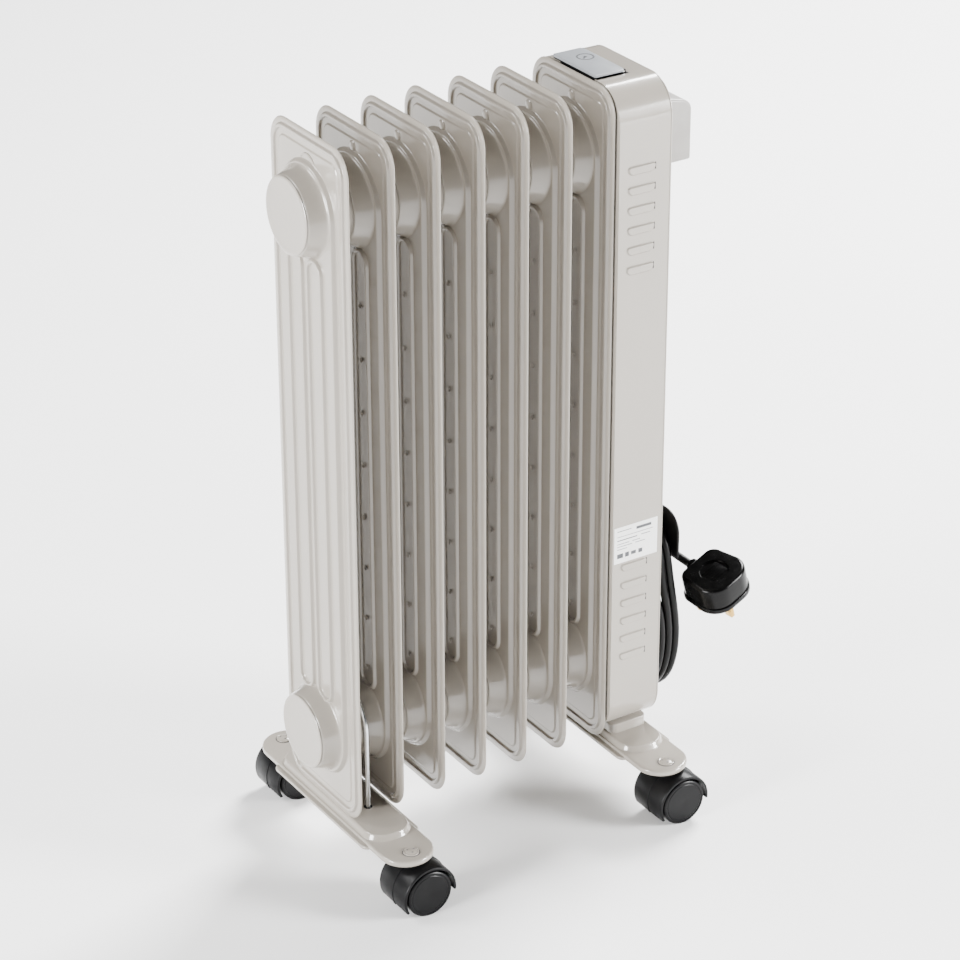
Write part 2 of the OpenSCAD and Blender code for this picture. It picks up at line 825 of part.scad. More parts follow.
castor_wheel(3, 1);  // castor_4_wheel_b
castor_axle(3);  // castor_4_axle
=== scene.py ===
from math import sin, cos, pi, radians
import bpy
import bmesh
from mathutils import Vector, Matrix, Euler


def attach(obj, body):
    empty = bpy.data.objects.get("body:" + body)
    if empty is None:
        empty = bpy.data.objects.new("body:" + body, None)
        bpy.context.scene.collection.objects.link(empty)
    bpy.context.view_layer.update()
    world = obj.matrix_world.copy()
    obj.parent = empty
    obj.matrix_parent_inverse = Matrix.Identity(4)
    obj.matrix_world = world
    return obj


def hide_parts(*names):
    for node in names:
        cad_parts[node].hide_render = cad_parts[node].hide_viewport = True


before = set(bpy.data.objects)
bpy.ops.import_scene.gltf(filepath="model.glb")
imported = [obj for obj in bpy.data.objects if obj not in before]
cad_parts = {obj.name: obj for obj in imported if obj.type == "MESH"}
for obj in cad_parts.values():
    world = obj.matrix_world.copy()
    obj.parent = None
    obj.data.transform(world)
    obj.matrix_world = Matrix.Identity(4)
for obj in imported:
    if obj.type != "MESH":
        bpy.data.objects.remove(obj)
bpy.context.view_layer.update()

# shared places on the heater, in mm, the same as in the CAD source
heater = dict(
    finCount=7, pitch=40, firstX=-153.6, finZ=58, finW=116, finH=588, finCorner=23,
    lowerAxis=69, upperAxis=524,
    boxBack=242.2, boxDepth=48.2, boxFront=292.4, boxW=123.4, boxRise=8.7, boxCorner=29,
)
finZ = heater["finZ"]
backX = heater["firstX"] + heater["boxBack"]
faceX = heater["firstX"] + heater["boxFront"]
boxZ = finZ + heater["boxRise"]
boxTop = finZ + heater["finH"]
lowerZ = finZ + heater["lowerAxis"]
upperZ = finZ + heater["upperAxis"]


# materials
def srgb(code):
    parts = [int(code[i:i + 2], 16) / 255 for i in (1, 3, 5)]
    return tuple([p / 12.92 if p < 0.04045 else ((p + 0.055) / 1.055) ** 2.4 for p in parts] + [1.0])


def addNode(tree, kind, settings=None, links=None):
    node = tree.nodes.new(kind)
    for key, value in (settings or {}).items():
        if key in node.inputs:
            node.inputs[key].default_value = value
        else:
            setattr(node, key, value)
    for key, source in (links or {}).items():
        tree.links.new(source, node.inputs[key])
    return node


def startMaterial(name):
    mat = bpy.data.materials.new(name)
    mat.use_nodes = True
    tree = mat.node_tree
    shader = tree.nodes["Principled BSDF"]
    coords = addNode(tree, "ShaderNodeTexCoord").outputs["Object"]
    return mat, tree, shader, coords


def perMm(size):
    return 1000 / size  # noise scale for a pattern this many mm across


def mottle(tree, coords, colourA, colourB, size):
    noise = addNode(tree, "ShaderNodeTexNoise", {"Scale": perMm(size), "Detail": 3.0}, {"Vector": coords})
    spread = {"From Min": 0.35, "From Max": 0.65}
    ramp = addNode(tree, "ShaderNodeMapRange", spread, {"Value": noise.outputs["Fac"]})
    mix = addNode(tree, "ShaderNodeMix", {"data_type": "RGBA"})
    mix.inputs[6].default_value = srgb(colourA)
    mix.inputs[7].default_value = srgb(colourB)
    tree.links.new(ramp.outputs["Result"], mix.inputs[0])
    return mix.outputs[2]


def wearRange(tree, coords, low, high, size):
    noise = addNode(tree, "ShaderNodeTexNoise", {"Scale": perMm(size), "Detail": 2.0}, {"Vector": coords})
    spread = {"From Min": 0.3, "From Max": 0.7, "To Min": low, "To Max": high}
    return addNode(tree, "ShaderNodeMapRange", spread, {"Value": noise.outputs["Fac"]}).outputs["Result"]


def grain(tree, coords, size, height, strength=1.0):
    noise = addNode(tree, "ShaderNodeTexNoise", {"Scale": perMm(size), "Detail": 2.0}, {"Vector": coords})
    return addNode(tree, "ShaderNodeBump", {"Strength": strength, "Distance": height / 1000},
                   {"Height": noise.outputs["Fac"]}).outputs["Normal"]


def makeEnamel():
    # gloss baked enamel on pressed steel, with a faint orange peel
    mat, tree, shader, coords = startMaterial("baked enamel")
    tree.links.new(mottle(tree, coords, "#938D84", "#918B82", 90), shader.inputs["Base Color"])
    tree.links.new(wearRange(tree, coords, 0.16, 0.21, 25), shader.inputs["Roughness"])
    tree.links.new(grain(tree, coords, 3.5, 0.03), shader.inputs["Normal"])
    shader.inputs["Coat Weight"].default_value = 0.5
    shader.inputs["Coat Roughness"].default_value = 0.06
    return mat


def makePlastic(name, colourA, colourB, low, high, grainSize, grainHeight, coat=0.0, specular=0.4):
    # moulded plastic with a fine spark-eroded grain
    mat, tree, shader, coords = startMaterial(name)
    tree.links.new(mottle(tree, coords, colourA, colourB, 12), shader.inputs["Base Color"])
    tree.links.new(wearRange(tree, coords, low, high, 8), shader.inputs["Roughness"])
    tree.links.new(grain(tree, coords, grainSize, grainHeight), shader.inputs["Normal"])
    shader.inputs["Coat Weight"].default_value = coat
    shader.inputs["Specular IOR Level"].default_value = specular
    return mat


def makeMetal(name, colourA, colourB, low, high):
    # plated or bare metal with faint handling marks
    mat, tree, shader, coords = startMaterial(name)
    shader.inputs["Metallic"].default_value = 1.0
    tree.links.new(mottle(tree, coords, colourA, colourB, 5), shader.inputs["Base Color"])
    tree.links.new(wearRange(tree, coords, low, high, 3), shader.inputs["Roughness"])
    tree.links.new(grain(tree, coords, 4, 0.003), shader.inputs["Normal"])
    return mat


def makeFloor():
    # pale matt studio sweep
    mat, tree, shader, coords = startMaterial("studio floor")
    tree.links.new(mottle(tree, coords, "#FAFAFA", "#F8F8F8", 400), shader.inputs["Base Color"])
    shader.inputs["Roughness"].default_value = 0.9
    return mat


enamel = makeEnamel()
silverPlastic = makePlastic("satin silver plastic", "#85888C", "#808387", 0.32, 0.42, 0.5, 0.01)
handlePlastic = makePlastic("pale grey plastic", "#8C8985", "#878480", 0.34, 0.44, 0.5, 0.01)
blackPlastic = makePlastic("black moulded plastic", "#060607", "#09090A", 0.32, 0.42, 0.45, 0.02, 0.0, 0.14)
wheelPlastic = makePlastic("black wheel plastic", "#050506", "#080809", 0.28, 0.38, 0.6, 0.02, 0.0, 0.14)
plugPlastic = makePlastic("black gloss plastic", "#030303", "#050505", 0.2, 0.28, 0.8, 0.01, 0.0, 0.13)
cordRubber = makePlastic("black cord sheath", "#050505", "#080808", 0.34, 0.44, 1.2, 0.03, 0.0, 0.16)
redPlastic = makePlastic("red lens plastic", "#86130D", "#7C110B", 0.15, 0.22, 1.0, 0.005, 0.3)
paleLine = makePlastic("grey screen print", "#3A3C3F", "#424447", 0.4, 0.5, 0.6, 0.004)
labelFilm = makePlastic("white label film", "#E2E2E0", "#DFDFDD", 0.3, 0.4, 0.7, 0.004)
zincSteel = makeMetal("zinc plated steel", "#DCDEE0", "#D2D4D6", 0.16, 0.26)
brassMetal = makeMetal("drawn brass", "#D0A95C", "#C39B50", 0.2, 0.32)
copperMetal = makeMetal("copper wire", "#B87346", "#A9683E", 0.25, 0.4)


# shapes, all in mm
def acrossUp(x):
    return lambda a, b: Vector((x, a, b))


def onPlan(z, cx=0):
    return lambda a, b: Vector((cx + a, b, z))


def roundRect(w, h, r, cx=0.0, cy=0.0, steps=10):
    points = []
    for sx, sy, start in ((1, 1, 0), (-1, 1, 90), (-1, -1, 180), (1, -1, 270)):
        for k in range(steps + 1):
            a = radians(start + 90 * k / steps)
            points.append((cx + sx * (w / 2 - r) + r * cos(a), cy + sy * (h / 2 - r) + r * sin(a)))
    return points


def capsule(r, low, high, cx=0.0, steps=20):
    turns = [pi * k / steps for k in range(steps + 1)]
    return [(cx + r * cos(a), high + r * sin(a)) for a in turns] + \
        [(cx - r * cos(a), low - r * sin(a)) for a in turns]


def raiseFace(bm, points, place, steps, side=1):
    # an outline pushed up in small steps, which gives a pressed, rounded shoulder
    verts = [bm.verts.new(place(a, b)) for a, b in points]
    face = bm.faces.new(verts)
    face.normal_update()
    for width, rise in steps:
        bmesh.ops.inset_region(bm, faces=[face], thickness=width, depth=rise * side, use_even_offset=True,
                                use_boundary=True)
    return face


def shoulder(width, rise, count=6):
    # steps for an S-shaped ramp, with a flat strip at both ends to keep the shading clean
    steps = [(0.25, 0.0)]
    last = 0.0
    for k in range(1, count + 1):
        now = rise * (1 - cos(pi * k / count)) / 2
        steps.append((width / count, now - last))
        last = now
    return steps + [(0.25, 0.0)]


def roundEdges(bm, edges, size, segments):
    bmesh.ops.bevel(bm, geom=edges, offset=size, segments=segments, profile=0.5, affect="EDGES",
                    material=-1)


def slab(bm, points, place, shift, bevel=0.0, segments=3, bevelStart=True):
    verts = [bm.verts.new(place(a, b)) for a, b in points]
    start = bm.faces.new(verts)
    moved = bmesh.ops.extrude_face_region(bm, geom=[start])
    ends = [v for v in moved["geom"] if isinstance(v, bmesh.types.BMVert)]
    bmesh.ops.translate(bm, verts=ends, vec=Vector(shift))
    top = [f for f in moved["geom"] if isinstance(f, bmesh.types.BMFace)][0]
    keep = start if start.is_valid else bm.faces.new(verts)
    if bevel:
        edges = list(top.edges) + (list(keep.edges) if bevelStart else [])
        roundEdges(bm, edges, bevel, segments)


def block(bm, low, high, bevel=0.0, segments=3):
    low, high = Vector(low), Vector(high)
    size = high - low
    made = bmesh.ops.create_cube(bm, size=1.0)["verts"]
    bmesh.ops.scale(bm, vec=size, verts=made)
    bmesh.ops.translate(bm, vec=(low + high) / 2, verts=made)
    if bevel:
        edges = list({e for v in made for e in v.link_edges})
        roundEdges(bm, edges, bevel, segments)


def lathe(bm, profile, centre, axis="X", steps=64, angle=360.0, start=0.0):
    # profile is (along the axis, radius); the solid is turned about the axis through centre
    centre = Vector(centre)
    ways = {"X": (Vector((1, 0, 0)), Vector((0, 0, 1))), "Y": (Vector((0, 1, 0)), Vector((0, 0, 1))),
            "Z": (Vector((0, 0, 1)), Vector((1, 0, 0)))}
    along, out = ways[axis]
    out = Matrix.Rotation(radians(start), 3, along) @ out
    verts = [bm.verts.new(centre + along * a + out * r) for a, r in profile]
    edges = [bm.edges.new((verts[i], verts[i + 1])) for i in range(len(verts) - 1)]
    full = angle >= 360
    bmesh.ops.spin(bm, geom=verts + edges, cent=centre, axis=along, angle=radians(angle), steps=steps,
                   use_merge=full, use_duplicate=False)
    return verts


def sweepTube(bm, path, radius, sides=12, capEnds=True):
    rings = []
    normal = None
    for i, p in enumerate(path):
        tangent = (path[min(i + 1, len(path) - 1)] - path[max(i - 1, 0)]).normalized()
        if normal is None:
            normal = tangent.orthogonal().normalized()
        normal = (normal - tangent * normal.dot(tangent)).normalized()
        other = tangent.cross(normal)
        size = radius(i) if callable(radius) else radius
        turns = [2 * pi * k / sides for k in range(sides)]
        rings.append([bm.verts.new(p + size * (cos(a) * normal + sin(a) * other)) for a in turns])
    for here, after in zip(rings, rings[1:]):
        for k in range(sides):
            m = (k + 1) % sides
            bm.faces.new((here[k], here[m], after[m], after[k]))
    if capEnds:
        bm.faces.new(list(reversed(rings[0])))
        bm.faces.new(rings[-1])


def meshFrom(bm, name):
    bmesh.ops.remove_doubles(bm, verts=list(bm.verts), dist=0.001)
    bmesh.ops.recalc_face_normals(bm, faces=list(bm.faces))
    bmesh.ops.scale(bm, vec=(0.001, 0.001, 0.001), verts=list(bm.verts))
    mesh = bpy.data.meshes.new(name)
    bm.to_mesh(mesh)
    bm.free()
    return mesh


def carve(mesh, cutter):
    # takes the cutter's solid out of the mesh and returns the new mesh
    target = bpy.data.objects.new("target", mesh)
    tool = bpy.data.objects.new("tool", cutter)
    for o in (target, tool):
        bpy.context.scene.collection.objects.link(o)
    mod = target.modifiers.new("cut", "BOOLEAN")
    mod.operation = "DIFFERENCE"
    mod.solver = "EXACT"
    mod.object = tool
    bpy.context.view_layer.update()
    result = bpy.data.meshes.new_from_object(target.evaluated_get(bpy.context.evaluated_depsgraph_get()))
    for o in (target, tool):
        bpy.data.objects.remove(o)
    return result


def addPiece(name, mesh, material, body="radiator", nodes=(), angle=32):
    mats = material if isinstance(material, (list, tuple)) else [material]
    mesh.materials.clear()
    for m in mats:
        mesh.materials.append(m)
    mesh.shade_smooth()
    mesh.set_sharp_from_angle(angle=radians(angle))
    name = name.replace(" ", "_")
    mesh.name = name
    obj = bpy.data.objects.new(name, mesh)
    bpy.context.scene.collection.objects.link(obj)
    if nodes:
        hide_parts(*nodes)
    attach(obj, body)
    return obj


def solid(name, bm, material, body="radiator", nodes=(), angle=32):
    return addPiece(name, meshFrom(bm, name), material, body, nodes, angle)


# camera
camera = dict(place=(-1.2984, -2.0325, 1.5476), turn=(62.82, 0.136, -32.607), lens=124.37)
camData = bpy.data.cameras.new("camera")
camData.lens = camera["lens"]
camData.sensor_width = 36
camData.clip_end = 50
camObj = bpy.data.objects.new("camera", camData)
bpy.context.scene.collection.objects.link(camObj)
camObj.location = camera["place"]

camObj.rotation_euler = [radians(a) for a in camera["turn"]]
bpy.context.scene.camera = camObj
print("camera ready")


# supply cord
cordPlan = dict(
    d=7.2, pitch=7.3, outerHalf=43.4, corner=29.4, top=184.9, low=18.7, gap=0.4, bow=11.0, turns=2.52,
    hankTop=188.6, hankLow=15, bowEarly=1.6, bowSharp=1.5,
    inlet=[(12, 12, 86), (12, 12, 95), (12, 12, 107), (11.6, 8.5, 119), (11.2, 0, 129), (10.6, -12, 134.5),
           (10.2, -25, 132.5), (10.8, -35, 124), (12.2, -41, 113)],
    lead=[(32.9, 43.4, 108), (33.4, 41.2, 122.5), (34.8, 33.6, 134.5), (38, 21.2, 140.5), (42.5, 5.4, 140),
          (46, -6.7, 136.5), (49.2, -19, 132.8), (51.8, -31.5, 131.1)],
)


def hankPoint(travel):
    # travel runs down the near side, along the bottom, up the far side and over the top
    r, half = cordPlan["corner"], cordPlan["outerHalf"]
    low, top = cordPlan["low"], cordPlan["top"]
    tall, wide, arc = top - low - 2 * r, 2 * (half - r), pi * r / 2
    loop = 2 * tall + 2 * wide + 4 * arc
    s = travel % loop
    cy = half - r
    if s < tall:
        y, z = -half, top - r - s
    elif s < tall + arc:
        a = (s - tall) / r
        y, z = -cy - r * cos(a), low + r - r * sin(a)
    elif s < tall + arc + wide:
        y, z = -cy + (s - tall - arc), low
    elif s < tall + 2 * arc + wide:
        a = (s - tall - arc - wide) / r
        y, z = cy + r * sin(a), low + r - r * cos(a)
    elif s < 2 * tall + 2 * arc + wide:
        y, z = half, low + r + (s - tall - 2 * arc - wide)
    elif s < 2 * tall + 3 * arc + wide:
        a = (s - 2 * tall - 2 * arc - wide) / r
        y, z = cy + r * cos(a), top - r + r * sin(a)
    elif s < 2 * tall + 3 * arc + 2 * wide:
        y, z = cy - (s - 2 * tall - 3 * arc - wide), top
    else:
        a = (s - 2 * tall - 3 * arc - 2 * wide) / r
        y, z = -cy - r * sin(a), top - r + r * cos(a)
    # the strands bow out from the panel below the upper hook
    drop = (cordPlan["hankTop"] - z) / (cordPlan["hankTop"] - cordPlan["hankLow"])
    bow = cordPlan["bow"] * sin(pi * drop ** cordPlan["bowEarly"]) ** cordPlan["bowSharp"]
    x = 3.65 + cordPlan["pitch"] * (travel - 57) / loop
    return Vector((cordPlan["gap"] + bow + x, y, z)), loop


def cordPath():
    inlet = [Vector(p) for p in cordPlan["inlet"]]
    lead = [Vector(p) for p in cordPlan["lead"]]
    loop = hankPoint(0)[1]
    count = int(cordPlan["turns"] * 44)
    wound = [hankPoint(57 + loop * cordPlan["turns"] * k / count)[0] for k in range(count + 1)]
    return [Vector((faceX + p.x, p.y, finZ + p.z)) for p in inlet + wound + lead]


def smoothPath(points, passes=2):
    for _ in range(passes):
        points = [points[0]] + [(points[i - 1] + 2 * points[i] + points[i + 1]) / 4
                                for i in range(1, len(points) - 1)] + [points[-1]]
    return points


route = smoothPath(cordPath())
cordLength = sum((route[i + 1] - route[i]).length for i in range(len(route) - 1)) / 1000
print("cord length", round(cordLength, 3))
curve = bpy.data.curves.new("supply_cord", "CURVE")
curve.dimensions = "3D"
curve.bevel_depth = cordPlan["d"] / 2000
curve.bevel_resolution = 5
curve.use_fill_caps = True
spline = curve.splines.new("NURBS")
spline.points.add(len(route) - 1)
for pt, p in zip(spline.points, route):
    pt.co = (p.x / 1000, p.y / 1000, p.z / 1000, 1)
spline.order_u = 3
spline.use_endpoint_u = True
curve.materials.append(cordRubber)
cordObj = bpy.data.objects.new("supply_cord", curve)
bpy.context.scene.collection.objects.link(cordObj)
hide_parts("supply_cord_inlet", "cord_hank", "supply_cord_lead")
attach(cordObj, "radiator")


# strain relief: a ribbed, tapering sleeve
relief = dict(x=12, y=12, z=60, length=26)
bm = bmesh.new()
profile = [(0, 0.2), (0, 6.6), (1.2, 6.9), (2.2, 6.4)]
for k in range(6):
    z0 = 3 + 3.6 * k
    r0 = 5.9 - 0.26 * k
    profile += [(z0, r0 - 0.5), (z0 + 0.6, r0 - 0.5), (z0 + 1.0, r0), (z0 + 2.6, r0 - 0.1),
                (z0 + 3.0, r0 - 0.6)]
profile += [(25.2, 4.1), (26, 3.7), (26, 0.2)]
lathe(bm, profile, (faceX + relief["x"], relief["y"], finZ + relief["z"]), "Z", 32)
reliefObj = solid("cord strain relief", bm, blackPlastic, nodes=("strain_relief",), angle=40)

# moulded plug, drawn in its own frame: pins along -Z, earth side +Y, cord enters at -Y
plug = dict(x=346.9, y=-60, z=138.1, turn=(-3.1, 18.1, -169.8), thick=21, rim=5)
plugPlace = Matrix.Translation((heater["firstX"] + plug["x"], plug["y"], finZ + plug["z"])) @ \
    Euler([radians(a) for a in plug["turn"]], "XYZ").to_matrix().to_4x4()


def plugOutline(grow):
    # broad and round on the earth side, narrower towards the cord
    points = []
    corners = ((6.5, 7, 18, 0), (-6.5, 7, 18, 90), (-13, -11.5, 9.5, 180), (13, -11.5, 9.5, 270))
    for cx, cy, r, start in corners:
        for k in range(13):
            a = radians(start + 90 * k / 12)
            points.append((cx + (r + grow) * cos(a), cy + (r + grow) * sin(a)))
    return points


bm = bmesh.new()
face = -plug["thick"] - plug["rim"]
slab(bm, plugOutline(0), onPlan(-plug["thick"]), (0, 0, plug["thick"]), 3.2, 5, False)
slab(bm, plugOutline(1.2), onPlan(face), (0, 0, plug["rim"]), 1.0, 3)
lathe(bm, [(-27.5, 0.2), (-27.5, 4.6), (-26.8, 5.2), (-19, 7.2), (-17, 7.4), (-17, 0.2)], (0, 0, -9), "Y", 32)
for k in range(4):
    lathe(bm, [(-26 + 2.1 * k, 4.4), (-25.6 + 2.1 * k, 6.1 + 0.25 * k), (-24.6 + 2.1 * k, 6.1 + 0.25 * k),
               (-24.2 + 2.1 * k, 4.4)], (0, 0, -9), "Y", 32)
body = meshFrom(bm, "plug body")
bm = bmesh.new()
lathe(bm, [(-1.6, 0.05), (-1.6, 12.2), (-0.9, 13), (2, 13), (2, 0.05)], (0, 2, 0), "Z", 64)
body = carve(body, meshFrom(bm, "recess"))
bm = bmesh.new()
bm.from_mesh(body)
bmesh.ops.scale(bm, vec=(1000, 1000, 1000), verts=list(bm.verts))
for k in range(6):
    block(bm, (-8.5, -4.6 + 2.5 * k, -1.8), (8.5, -3.4 + 2.5 * k, -0.9), 0.3, 2)
bmesh.ops.transform(bm, matrix=plugPlace, verts=list(bm.verts))
plugObj = solid("plug body", bm, plugPlastic, nodes=("plug_body",), angle=30)

bm = bmesh.new()
block(bm, (-2, 7, face - 22.7), (2, 15, face - 9), 0.6, 2)
for s in (-1, 1):
    block(bm, (s * 11.1 - 3.2, -13.3, face - 17.7), (s * 11.1 + 3.2, -9.3, face - 9.5), 0.6, 2)
bmesh.ops.transform(bm, matrix=plugPlace, verts=list(bm.verts))
pinObj = solid("plug pins", bm, brassMetal, nodes=("plug_pins",))
bm = bmesh.new()
block(bm, (-2.15, 6.85, face - 9.2), (2.15, 15.15, face + 2), 0.5, 2)
for s in (-1, 1):
    block(bm, (s * 11.1 - 3.35, -13.45, face - 9.7), (s * 11.1 + 3.35, -9.15, face + 2), 0.5, 2)
bmesh.ops.transform(bm, matrix=plugPlace, verts=list(bm.verts))
sleeveObj = solid("pin sleeves", bm, plugPlastic)
bm = bmesh.new()
block(bm, (-3.9, -8.9, face - 0.15), (3.9, 4.9, face + 2.9), 0.5, 2)
bmesh.ops.transform(bm, matrix=plugPlace, verts=list(bm.verts))
fuseObj = solid("plug fuse cover", bm, plugPlastic, nodes=("plug_fuse_cover",))
print("cord and plug ready")


# fins
finPlan = dict(loopW=25, loopY=14.5, loopLow=112, loopHigh=478, capsuleR=37.5, capsuleX=5.5, dimpleGap=46)


def buildFin(index):
    x0 = heater["firstX"] + index * heater["pitch"]
    mid = finZ + heater["finH"] / 2
    bm = bmesh.new()
    for side in (1, -1):
        def put(x):
            return acrossUp(x0 + side * x)
        # welded rim, two pressed beads, then the flat of the panel
        steps = [(0.12, 0.28), (0.22, 0.28), (0.36, 0.24), (3.6, 0.0)] + shoulder(1.8, 2.0, 6) + [(1.0, 0.0)]
        steps += [(w, -h) for w, h in shoulder(1.6, 1.8, 6)] + [(3.4, 0.0)] + shoulder(1.8, 0.9, 5)
        points = roundRect(heater["finW"], heater["finH"], heater["finCorner"], 0, mid, 14)
        raiseFace(bm, points if side > 0 else points[::-1], put(0.0), steps)
        # oil space round both collectors
        points = capsule(finPlan["capsuleR"] + 4.5, lowerZ, upperZ, 0, 40)
        raiseFace(bm, points if side > 0 else points[::-1], put(1.7),
                  shoulder(3.4, finPlan["capsuleX"] - 1.7, 8))
        for s in (-1, 1):
            points = capsule(finPlan["loopW"] / 2 + 0.6, finZ + finPlan["loopLow"], finZ + finPlan["loopHigh"],
                             s * finPlan["loopY"], 16)
            steps = shoulder(2.2, 2.7, 6) + [(1.0, 0.0)] + [(w, -h) for w, h in shoulder(1.8, 2.2, 6)]
            raiseFace(bm, points if side > 0 else points[::-1], put(5.3), steps)
            z = finZ + finPlan["loopLow"] + 8
            if index == 0 and side < 0:
                continue
            while z < finZ + finPlan["loopHigh"] - 4:
                lathe(bm, [(0, 0.05), (0, 1.1), (0.25, 1.7), (0.9, 2.3)] if side > 0 else
                      [(0, 0.05), (0, 1.1), (-0.25, 1.7), (-0.9, 2.3)],
                      (x0 + side * 6.0, s * finPlan["loopY"], z), "X", 14)
                z += finPlan["dimpleGap"]
        for z in (lowerZ, upperZ):
            profile = [(5.2, 38.6), (5.6, 37.6), (6.2, 36.9), (7.2, 36.2), (9.6, 35.2), (12, 34.3), (15, 33.2),
                       (18.2, 32.1), (19.2, 31.7), (19.7, 31.3), (20.0, 30.6), (20.0, 29.0), (6, 29.0)]
            lathe(bm, [(side * a, r) for a, r in profile], (x0, 0, z), "X", 72)
        if index == 0 and side < 0:
            continue
        # small round boss above the upper collector
        lathe(bm, [(side * a, r) for a, r in ((1.6, 5.0), (2.2, 4.6), (2.7, 3.8), (2.9, 2.6), (2.9, 0.05))],
              (x0, 0, upperZ + 43.5), "X", 28)
    return bm


for i in range(heater["finCount"]):
    bm = buildFin(i)
    if i == 0:
        # short crescent stamped near the top edge of the outer fin
        arc = [Vector((heater["firstX"] - 1.9, -1 + 13 * sin(radians(a)), finZ + 556 + 14 * cos(radians(a))))
               for a in range(-52, 53, 8)]
        sweepTube(bm, arc, lambda k: 0.35 + 0.75 * sin(pi * (k + 0.5) / 14), 8)
    solid(f"fin {i + 1}", bm, enamel, nodes=(f"fin_{i + 1}",), angle=38)
for name, z in (("upper", upperZ), ("lower", lowerZ)):
    bm = bmesh.new()
    profile = [(-19.9, 0.05), (-19.9, 30.6), (-20.3, 31.3), (-20.9, 31.2), (-21.3, 30.7), (-21.5, 29.9),
               (-21.5, 27.6), (-21.35, 26.8), (-21.3, 25.6), (-21.3, 0.05)]
    lathe(bm, profile, (heater["firstX"], 0, z), "X", 72)
    solid(f"{name} end cap", bm, enamel, nodes=(f"{name}_end_cap",), angle=38)
print("fins ready")


# control box
box = dict(wall=1.2, louvreW=27, louvreH=8.4, louvreX=21.4, louvreOut=1.3, louvrePitch=17,
           louvreTopR=2.6, louvreLowR=5.4, rows=((431.5, 6), (78.8, 6)),
           trayX=1.0, trayD=30, trayL=62.4, trayY=3)
boxMid = boxZ + (boxTop - boxZ) / 2
boxH = boxTop - boxZ
bm = bmesh.new()
outer = roundRect(heater["boxW"], boxH, heater["boxCorner"], 0, boxMid, 14)
slab(bm, outer, acrossUp(backX), (heater["boxDepth"], 0, 0), 0.0)
shell = meshFrom(bm, "casing")
bm = bmesh.new()
wall = box["wall"]
inner = roundRect(heater["boxW"] - 2 * wall, boxH - 2 * wall, heater["boxCorner"] - wall, 0, boxMid, 14)
slab(bm, inner, acrossUp(backX - 1), (heater["boxDepth"] + 2, 0, 0))
shell = carve(shell, meshFrom(bm, "hollow"))
bm = bmesh.new()
block(bm, (backX + box["trayX"] - 0.1, box["trayY"] - box["trayL"] / 2 - 0.1, boxTop - 6),
      (backX + box["trayX"] + box["trayD"] + 0.1, box["trayY"] + box["trayL"] / 2 + 0.1, boxTop + 6))
shell = carve(shell, meshFrom(bm, "lid hole"))
bm = bmesh.new()
bm.from_mesh(shell)
bmesh.ops.scale(bm, vec=(1000, 1000, 1000), verts=list(bm.verts))


def louvreOutline(cx, z, grow=0.0):
    # nearly square along the top, round below
    w, h = box["louvreW"] / 2 + grow, box["louvreH"] + grow
    top, low = box["louvreTopR"], box["louvreLowR"]
    points = []
    for sx, r, up, start in ((1, top, 1, 0), (-1, top, 1, 90), (-1, low, 0, 180), (1, low, 0, 270)):
        for k in range(9):
            a = radians(start + 90 * k / 8)
            points.append((cx + sx * (w - r) + r * cos(a), (z + h - r if up else z + r) + r * sin(a)))
    return points


for row, count in box["rows"]:
    for k in range(count):
        for s in (-1, 1):
            points = louvreOutline(backX + box["louvreX"], finZ + row + k * box["louvrePitch"])
            y = s * (heater["boxW"] / 2 - 0.3)
            raiseFace(bm, points if s < 0 else points[::-1], lambda a, b: Vector((a, y, b)),
                      [(0.1, 0.3)] + shoulder(1.2, box["louvreOut"], 6), 1)
# the sleeve's rear edge is turned in towards the last fin
rim = roundRect(heater["boxW"] - 0.3, boxH - 0.3, heater["boxCorner"] - 0.2, 0, boxMid, 14)
inside = roundRect(heater["boxW"] - 12, boxH - 12, heater["boxCorner"] - 6, 0, boxMid, 14)
for x in (backX - 0.1, backX + 0.9):
    a = [bm.verts.new((x, y, z)) for y, z in rim]
    b = [bm.verts.new((x, y, z)) for y, z in inside]
    for k in range(len(a)):
        m = (k + 1) % len(a)
        bm.faces.new((a[k], a[m], b[m], b[k]))
solid("control box casing", bm, enamel, nodes=("casing",), angle=34)

# black blocks at the front end of each vent: painted shade standing in for the dark air gaps there
bm = bmesh.new()
for row, count in box["rows"]:
    for k in range(count):
        for s in (-1, 1):
            z = finZ + row + k * box["louvrePitch"]
            x = backX + box["louvreX"] + box["louvreW"] / 2
            y = s * (heater["boxW"] / 2 + 0.35)
            block(bm, (x - 0.9, min(y, y - s * 0.5), z + 1.6), (x - 0.1, max(y, y - s * 0.5), z + 7.6), 0.15, 1)
solid("vent gap shade", bm, blackPlastic)

# front panel with the holes for the controls
controls = dict(knobZ=457, shaftR=3.6, switchY=13, switchZ=397, slotY=5.5, slotZ=13.5)
knobZ, switchZ = finZ + controls["knobZ"], finZ + controls["switchZ"]
bm = bmesh.new()
points = roundRect(heater["boxW"], boxH, heater["boxCorner"], 0, boxMid, 14)
slab(bm, points, acrossUp(faceX - 2), (2, 0, 0), 0.9, 3)
panel = meshFrom(bm, "front panel")
cutters = bmesh.new()
lathe(cutters, [(-4, 0.05), (-4, controls["shaftR"]), (4, controls["shaftR"]), (4, 0.05)],
      (faceX, 0, knobZ), "X", 32)
for s in (-1, 1):
    y = s * controls["switchY"]
    block(cutters, (faceX - 4, y - controls["slotY"], switchZ - controls["slotZ"]),
          (faceX + 4, y + controls["slotY"], switchZ + controls["slotZ"]))
panel = carve(panel, meshFrom(cutters, "panel holes"))
addPiece("front panel", panel, enamel, nodes=("front_panel",))

